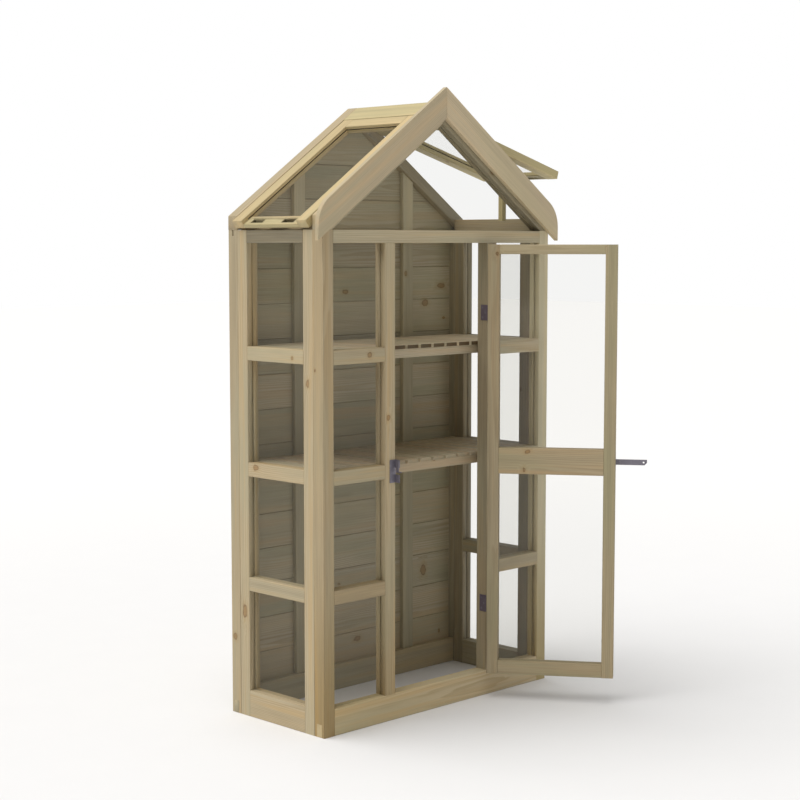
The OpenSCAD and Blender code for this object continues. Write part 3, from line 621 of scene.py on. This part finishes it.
def pine(
    name, early, late, cool, warm, contrast=0.5, knots=(), knot_share=KNOT_SHARE,
    shade_reach=SHADE_REACH, shade_full=SHADE_FULL, shade_leaves=SHADE_LEAVES,
):
    """Planed softwood, with rings, fibres, stains and knots that follow each timber's grain, and
    painted shade in its corners and joints.
    """
    s = Shader(name)
    grain = s.attribute("grain", "Vector")
    tone, tint, damp = (s.attribute(layer) for layer in ("tone", "tint", "damp"))
    at = s.place()
    knot_at, knot_r = knots_near(s, grain, at, knots, knot_share)
    ring = growth_rings(s, grain, knot_at, knot_r)
    fibres = s.noise(s.vector("MULTIPLY", grain, FIBRE_SCALE), roughness=0.6)
    bands = s.noise(s.vector("MULTIPLY", grain, BAND_SCALE), detail=3.0, roughness=0.55)
    stains = s.noise(s.vector("MULTIPLY", grain, STAIN_SCALE))

    shows = s.spread(stains, *CLEAR_STAINS, *(share * contrast for share in RING_SHOWS))
    wood = s.mix(s.math("MULTIPLY", ring, shows), early, late)
    wood = s.mix(s.spread(stains, *COOL_PATCH, 0.0, PATCH_SHARE, smooth=True), wood, cool)
    wood = s.mix(s.spread(bands, *WARM_PATCH, 0.0, PATCH_SHARE, smooth=True), wood, warm)
    wood = s.mix(s.spread(tint, -LOG_HUES, 0, LOG_SHARE, 0.0), wood, cool)
    wood = s.mix(s.spread(tint, 0, LOG_HUES, 0.0, LOG_SHARE), wood, warm)
    light = s.spread(tone, *LOG_TONES, *LOG_LIGHT)
    for pattern, by in ((bands, BAND_LIGHT), (fibres, FIBRE_LIGHT)):
        light = s.math("ADD", light, s.spread(pattern, NOISE_LOW, NOISE_HIGH, -by, by))
    wood = s.scaled(wood, light)
    wood = with_knots(s, wood, knot_at)

    # the foot of the frame has drawn up damp
    height = s.node("ShaderNodeSeparateXYZ", Vector=at).outputs["Z"]
    foot = s.math("MULTIPLY", s.spread(height, *DAMP_RISE, 1.0, 0.0, smooth=True), damp)
    wood = s.stained(foot, wood, DAMP_STAIN)

    # sawn ends drink up more of the stain, and are darkened further as painted shade
    facing = s.node("ShaderNodeNewGeometry").outputs["True Normal"]
    facing = s.vector("DOT_PRODUCT", facing, s.attribute("way", "Vector"))
    wood = s.stained(s.math("ABSOLUTE", facing, clamp=True), wood, SAWN_STAIN_AND_SHADE)

    # painted shade: corners, joints and recesses are darkened by how little of the air they see
    air = s.node(
        "ShaderNodeAmbientOcclusion", {"samples": AIR_SAMPLES, "only_local": True},
        Distance=shade_reach,
    )
    painted_shade = s.spread(air.outputs["AO"], shade_full, SHADE_GONE, shade_leaves, 1.0)
    wood = s.scaled(wood, painted_shade)

    relief = s.math("MULTIPLY", fibres, FIBRE_RELIEF)
    relief = s.math("ADD", relief, s.math("MULTIPLY", ring, RING_RELIEF))
    bump = s.node("ShaderNodeBump", Strength=RELIEF_STRENGTH, Distance=RELIEF, Height=relief)
    shader = s.node(
        "ShaderNodeBsdfPrincipled", Base_Color=wood, Normal=bump.outputs[0],
        Roughness=s.spread(bands, NOISE_LOW, NOISE_HIGH, *PLANED_GLOSS),
    )
    return s.surface(shader.outputs[0])


# ---- glass, metal and floor ----

GLASS_CLEAR = (0.958, 0.958, 0.952, 1)  # what a pane lets through
GLASS_GLOSS = (0.01, 0.04)  # roughness, from spot to spot
FILM_SCALE = 3.0
GLASS_IOR = 1.5
MIRROR_SHARE = 0.4  # how much of its mirroring shows
METAL_GLOSS = (0.36, 0.5)  # roughness, from spot to spot
MOTTLE_SCALE = 420.0
MOTTLE_DEPTH = 0.1 * MM
MOTTLE_STRENGTH = 0.3
WEAR_SCALE = 95.0
WORN_PATCH = (0.55, 0.75)  # where on the wear the paint is rubbed
RUBBED_SHARE = 0.6  # how far it is rubbed there
FLOOR_NEAR = ((0.79, 0.79, 0.795, 1), (0.805, 0.805, 0.81, 1))  # from spot to spot
FLOOR_FAR = (0.845, 0.845, 0.845, 1)
FLOOR_LIGHTENS = (1.5, 6.0)  # how far off it starts and ends to grow lighter
FLOOR_SCALE = 6.0
FLOOR_ROUGHNESS = 0.9


def clear_glass(name):
    """Flat clear glass that lets the light through and mirrors a little."""
    s = Shader(name)
    film = s.noise(s.place(), scale=FILM_SCALE)
    through = s.node("ShaderNodeBsdfTransparent", Color=GLASS_CLEAR)
    gloss = s.node(
        "ShaderNodeBsdfGlossy", Color=(1, 1, 1, 1),
        Roughness=s.spread(film, NOISE_LOW, NOISE_HIGH, *GLASS_GLOSS),
    )
    mirror = s.node("ShaderNodeFresnel", IOR=GLASS_IOR).outputs[0]
    mirror = s.math("MULTIPLY", mirror, MIRROR_SHARE)
    outside = s.math("SUBTRACT", 1.0, s.node("ShaderNodeNewGeometry").outputs["Backfacing"])
    both = s.node("ShaderNodeMixShader", Fac=s.math("MULTIPLY", mirror, outside, clamp=True))
    s.feed(both.inputs[1], through.outputs[0])
    s.feed(both.inputs[2], gloss.outputs[0])
    return s.surface(both.outputs[0])


def dark_metal(name, paint, worn, metallic):
    """Dark satin ironmongery with a faint mottle and rubbed patches."""
    s = Shader(name)
    at = s.place()
    mottle = s.noise(at, scale=MOTTLE_SCALE, detail=3.0)
    wear = s.noise(at, scale=WEAR_SCALE, detail=4.0, roughness=0.65)
    wear = s.spread(wear, *WORN_PATCH, 0.0, RUBBED_SHARE, smooth=True)
    bump = s.node(
        "ShaderNodeBump", Strength=MOTTLE_STRENGTH, Distance=MOTTLE_DEPTH, Height=mottle
    )
    shader = s.node(
        "ShaderNodeBsdfPrincipled", Base_Color=s.mix(wear, paint, worn), Metallic=metallic,
        Roughness=s.spread(mottle, NOISE_LOW, NOISE_HIGH, *METAL_GLOSS), Normal=bump.outputs[0],
    )
    return s.surface(shader.outputs[0])


def pale_floor(name):
    """A plain pale floor that grows a little lighter far off."""
    s = Shader(name)
    at = s.place()
    near = s.mix(s.noise(at, scale=FLOOR_SCALE), *FLOOR_NEAR)
    far = s.spread(s.vector("LENGTH", at), *FLOOR_LIGHTENS, smooth=True)
    shader = s.node(
        "ShaderNodeBsdfPrincipled", Base_Color=s.mix(far, near, FLOOR_FAR),
        Roughness=FLOOR_ROUGHNESS,
    )
    return s.surface(shader.outputs[0])


TIMBERS = {
    "frame_wood": pine(
        "planed pine frame", colour(189, 174, 143), colour(162, 140, 103),
        colour(177, 169, 140), colour(182, 157, 115), knots=FRAME_KNOTS,
    ),
    "barge_wood": pine(
        "planed pine bargeboards", colour(198, 181, 150), colour(176, 154, 118),
        colour(188, 174, 140), colour(194, 169, 132), contrast=0.35, knot_share=0.0,
    ),
    "roof_wood": pine(
        "planed pine roof", colour(194, 175, 132), colour(168, 144, 99),
        colour(184, 172, 127), colour(198, 174, 128),
        # the roof's painted shade reaches far and goes nearly black, darkening its drain notches
        # and recesses
        shade_reach=40 * MM, shade_full=0.45, shade_leaves=0.08,
    ),
    "board_wood": pine(
        "pine matchboards", colour(184, 173, 147), colour(155, 140, 108),
        colour(160, 156, 127), colour(168, 150, 119), knots=BOARD_KNOTS,
    ),
    "door_wood": pine(
        "planed pine door", colour(184, 167, 134), colour(156, 135, 100),
        colour(170, 161, 124), colour(176, 150, 113), contrast=0.4, knots=DOOR_KNOTS,
    ),
    "shelf_wood": pine(
        "sawn pine shelves", colour(188, 175, 149), colour(162, 143, 111),
        colour(176, 168, 139), colour(188, 164, 131),
    ),
}
METALS = {
    "hinge_metal": dark_metal(
        "hinge metal", colour(116, 106, 118), colour(140, 130, 142), 0.5
    ),
    "latch_metal": dark_metal(
        "latch metal", colour(128, 124, 134), colour(156, 152, 160), 0.55
    ),
}
GLASS = clear_glass("clear glass")

# ---- ironmongery ----

EASE_R = 0.35 * MM  # rounding of the pressed metal
EASE_FACETS = 2
METAL_ROUND_W = 1.2 * MM  # faces narrower than this are roundings
SCREW_R = 3.1 * MM
SCREW_SIDES = 24
SCREW_PROUD = 0.18 * MM  # how far the heads stand off the leaf
SCREW_SUNK = 0.3 * MM  # how far the heads are let in
SLOT_W = 0.9 * MM  # width of the cross slot
SLOT_REACH = 1.1  # length of the slot, to the radius of the head
# how far along the leaf each screw is, as a share of its length, and how far off the pin
LEAF_ROWS = ((-0.32, 28 * MM), (0.0, 17 * MM), (0.32, 28 * MM))
PLATE_T = 2.5 * MM  # thickness of the latch plates
CATCH_ROWS = (-0.37, 0.37)  # share of the catch's height
CATCH_INSET = 8 * MM  # from the catch's edge to its screws


def metal_piece(node, finish):
    """A copy of a metal node with eased edges."""
    bm = clean_copy(node)
    edges = [e for e in bm.edges if convex(e) and e.calc_length() > 2 * EASE_R]
    soften(bm, edges, EASE_R, EASE_FACETS)
    for f in bm.faces:
        f.smooth = len(f.verts) == 4 and narrowest(f) < METAL_ROUND_W
    take_place(bm, node, "_iron", finish)


def screw_tree():
    """Puts a countersunk head with a cross slot on every point, facing the way of "out"."""
    tree = bpy.data.node_groups.new("screw heads", "GeometryNodeTree")
    face = tree.interface
    face.new_socket("Places", in_out="INPUT", socket_type="NodeSocketGeometry")
    for name in ("Head Radius", "Head Depth", "Slot Width", "Let In"):
        face.new_socket(name, in_out="INPUT", socket_type="NodeSocketFloat")
    face.new_socket("Metal", in_out="INPUT", socket_type="NodeSocketMaterial")
    face.new_socket("Screws", in_out="OUTPUT", socket_type="NodeSocketGeometry")

    t = Tree(tree)
    given = t.node("NodeGroupInput").outputs
    head_r, head_t, slot_w = (given[n] for n in ("Head Radius", "Head Depth", "Slot Width"))
    head = t.node(
        "GeometryNodeMeshCone", Vertices=SCREW_SIDES, Radius_Top=head_r,
        Radius_Bottom=head_r, Depth=head_t,
    )
    reach = t.math("MULTIPLY", head_r, SLOT_REACH)
    raised = t.node("ShaderNodeCombineXYZ", Z=head_t).outputs[0]
    solid = head.outputs["Mesh"]
    for sizes in ({"X": reach, "Y": slot_w}, {"Y": reach, "X": slot_w}):
        size = t.node("ShaderNodeCombineXYZ", Z=head_t, **sizes)
        bar = t.node("GeometryNodeMeshCube", Size=size.outputs[0])
        bar = t.node(
            "GeometryNodeTransform", Geometry=bar.outputs["Mesh"], Translation=raised
        )
        cut = t.node("GeometryNodeMeshBoolean", {"operation": "DIFFERENCE", "solver": "EXACT"})
        t.feed(cut.inputs[0], solid)
        t.feed(cut.inputs[1], bar.outputs["Geometry"])
        solid = cut.outputs["Mesh"]
    down = t.node("ShaderNodeCombineXYZ", Z=t.math("MULTIPLY", given["Let In"], -1.0))
    sunk = t.node("GeometryNodeTransform", Geometry=solid, Translation=down.outputs[0])
    out = t.node("GeometryNodeInputNamedAttribute", {"data_type": "FLOAT_VECTOR"}, Name="out")
    turn = t.node(
        "FunctionNodeAlignRotationToVector", {"axis": "Z"}, Vector=out.outputs["Attribute"]
    )
    placed = t.node(
        "GeometryNodeInstanceOnPoints", Points=given["Places"],
        Instance=sunk.outputs["Geometry"], Rotation=turn.outputs["Rotation"],
    )
    real = t.node("GeometryNodeRealizeInstances", Geometry=placed.outputs["Instances"])
    metal = t.node(
        "GeometryNodeSetMaterial", Geometry=real.outputs["Geometry"], Material=given["Metal"]
    )
    t.node("NodeGroupOutput", Screws=metal.outputs["Geometry"])
    return tree


def leaf_screws(node, pin, axis):
    """The places of the screws in each leaf of a hinge node, with the way they face."""
    bm = clean_copy(node)
    places = []
    for solid in solids_of(bm):
        faces = {f for v in solid for f in v.link_faces}
        broad = sorted(faces, key=lambda f: f.calc_area())[-2:]
        face = min(broad, key=lambda f: abs((f.verts[0].co - pin).dot(f.normal)))
        reach = [v.co.dot(axis) for v in face.verts]
        middle, length = (max(reach) + min(reach)) / 2, max(reach) - min(reach)
        off = (face.verts[0].co - pin).dot(face.normal)
        outward = axis.cross(face.normal)
        if outward.dot(face.calc_center_median() - pin) < 0:
            outward = -outward
        for share, from_pin in LEAF_ROWS:
            place = pin + outward * from_pin + face.normal * off
            place += axis * (middle + share * length - pin.dot(axis))
            places.append((tuple(place), tuple(face.normal)))
    bm.free()
    return places


def catch_screws():
    """Two screws through the back plate of the catch, one over and one under the slot."""
    low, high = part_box("latch_catch")
    front_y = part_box("left_mullion")[0][1]
    rows = [(low[2] + high[2]) / 2 + share * (high[2] - low[2]) for share in CATCH_ROWS]
    x = low[0] + CATCH_INSET
    return [((x, front_y - PLATE_T, z), (0.0, -1.0, 0.0)) for z in rows]


def screws_piece(name, body, places):
    """All the screws that one body carries, as one mesh."""
    points = bpy.data.meshes.new(name + "_places")
    points.from_pydata([place for place, _ in places], [], [])
    out = points.attributes.new("out", "FLOAT_VECTOR", "POINT")
    for item, (_, way) in zip(out.data, places):
        item.vector = way
    maker = put(name + "_maker", points)
    heads = maker.modifiers.new("screws", "NODES")
    heads.node_group = SCREW_TREE
    sizes = {
        "Head Radius": SCREW_R, "Head Depth": SCREW_PROUD + SCREW_SUNK,
        "Slot Width": SLOT_W, "Let In": SCREW_SUNK, "Metal": METALS["latch_metal"],
    }
    for item in SCREW_TREE.interface.items_tree:
        if item.name in sizes:
            heads[item.identifier] = sizes[item.name]
    bpy.context.view_layer.update()
    made = bpy.context.evaluated_depsgraph_get()
    mesh = bpy.data.meshes.new_from_object(maker.evaluated_get(made), depsgraph=made)
    maker.modifiers.clear()
    bpy.data.objects.remove(maker)
    mesh.name = name
    settle(mesh, name, body)


SCREW_TREE = screw_tree()
JOINTS = {joint["name"]: joint for joint in frame["record"]["behaviour"]["joints"]}
DOOR_HINGE, VENT_HINGE = (
    [Vector(JOINTS[name][key]) for key in ("pos_m", "axis")]
    for name in ("door_hinge", "vent_hinge")
)
screws_piece("frame_screws", "frame", (
    leaf_screws("jamb_hinges", *DOOR_HINGE)
    + leaf_screws("vent_hinge_bases", *VENT_HINGE)
    + catch_screws()
))
screws_piece("door_screws", "door", leaf_screws("door_hinge_leaves", *DOOR_HINGE))
screws_piece("vent_screws", "vent", leaf_screws("vent_hinge_leaves", *VENT_HINGE))

# ---- dress every node ----

for node, slot in SLOT_OF.items():
    if slot in TIMBERS:
        timber_piece(node, TIMBERS[slot])
    elif slot in METALS:
        metal_piece(node, METALS[slot])
    else:
        NODES[node].data.materials.clear()
        NODES[node].data.materials.append(GLASS)

# ---- floor, light and camera ----

FLOOR_HALF = 30.0
FLOOR_DROP = 0.2 * MM  # keeps the floor clear of the feet
ROOM_LIGHT = 0.40  # how bright the room is, beside the white backdrop
SUN_FROM = (-0.33, 0.17, 0.92)
SUN_SPREAD = math.radians(64)
SUN_STRENGTH = 2.85
SUN_TINT = (1.0, 0.985, 0.96)
LENS = 76.45
SENSOR = 36.0
FARTHEST = 200.0
CAMERA_AT = (-3.9065, -3.7608, 1.5017)
CAMERA_TURN = (84.70, 0.0, -44.82)

corners = [(-1, -1), (1, -1), (1, 1), (-1, 1)]
floor_mesh = bpy.data.meshes.new("floor")
floor_mesh.from_pydata(
    [(x * FLOOR_HALF, y * FLOOR_HALF, -FLOOR_DROP) for x, y in corners], [], [(0, 1, 2, 3)]
)
floor_mesh.materials.append(pale_floor("pale floor"))
put("floor", floor_mesh)

world = bpy.data.worlds.new("studio")
bpy.context.scene.world = world
world.use_nodes = True
room = Tree(world.node_tree)
rays = room.node("ShaderNodeLightPath").outputs["Is Camera Ray"]
strength = room.node("ShaderNodeMapRange", Value=rays, To_Min=ROOM_LIGHT, To_Max=1.0)
sky = world.node_tree.nodes["Background"]
room.feed(sky.inputs["Color"], (1, 1, 1, 1))
room.feed(sky.inputs["Strength"], strength.outputs["Result"])

sun = bpy.data.lights.new("overhead light", "SUN")
sun.angle = SUN_SPREAD
sun.energy = SUN_STRENGTH
sun.color = SUN_TINT
put("overhead light", sun).rotation_euler = Vector(SUN_FROM).to_track_quat("Z", "Y").to_euler()

camera = bpy.data.cameras.new("camera")
camera.lens = LENS
camera.sensor_width = SENSOR
camera.clip_end = FARTHEST
eye = put("camera", camera)
eye.location = CAMERA_AT
eye.rotation_euler = [math.radians(a) for a in CAMERA_TURN]
bpy.context.scene.camera = eye
bpy.context.scene.view_settings.view_transform = "Standard"
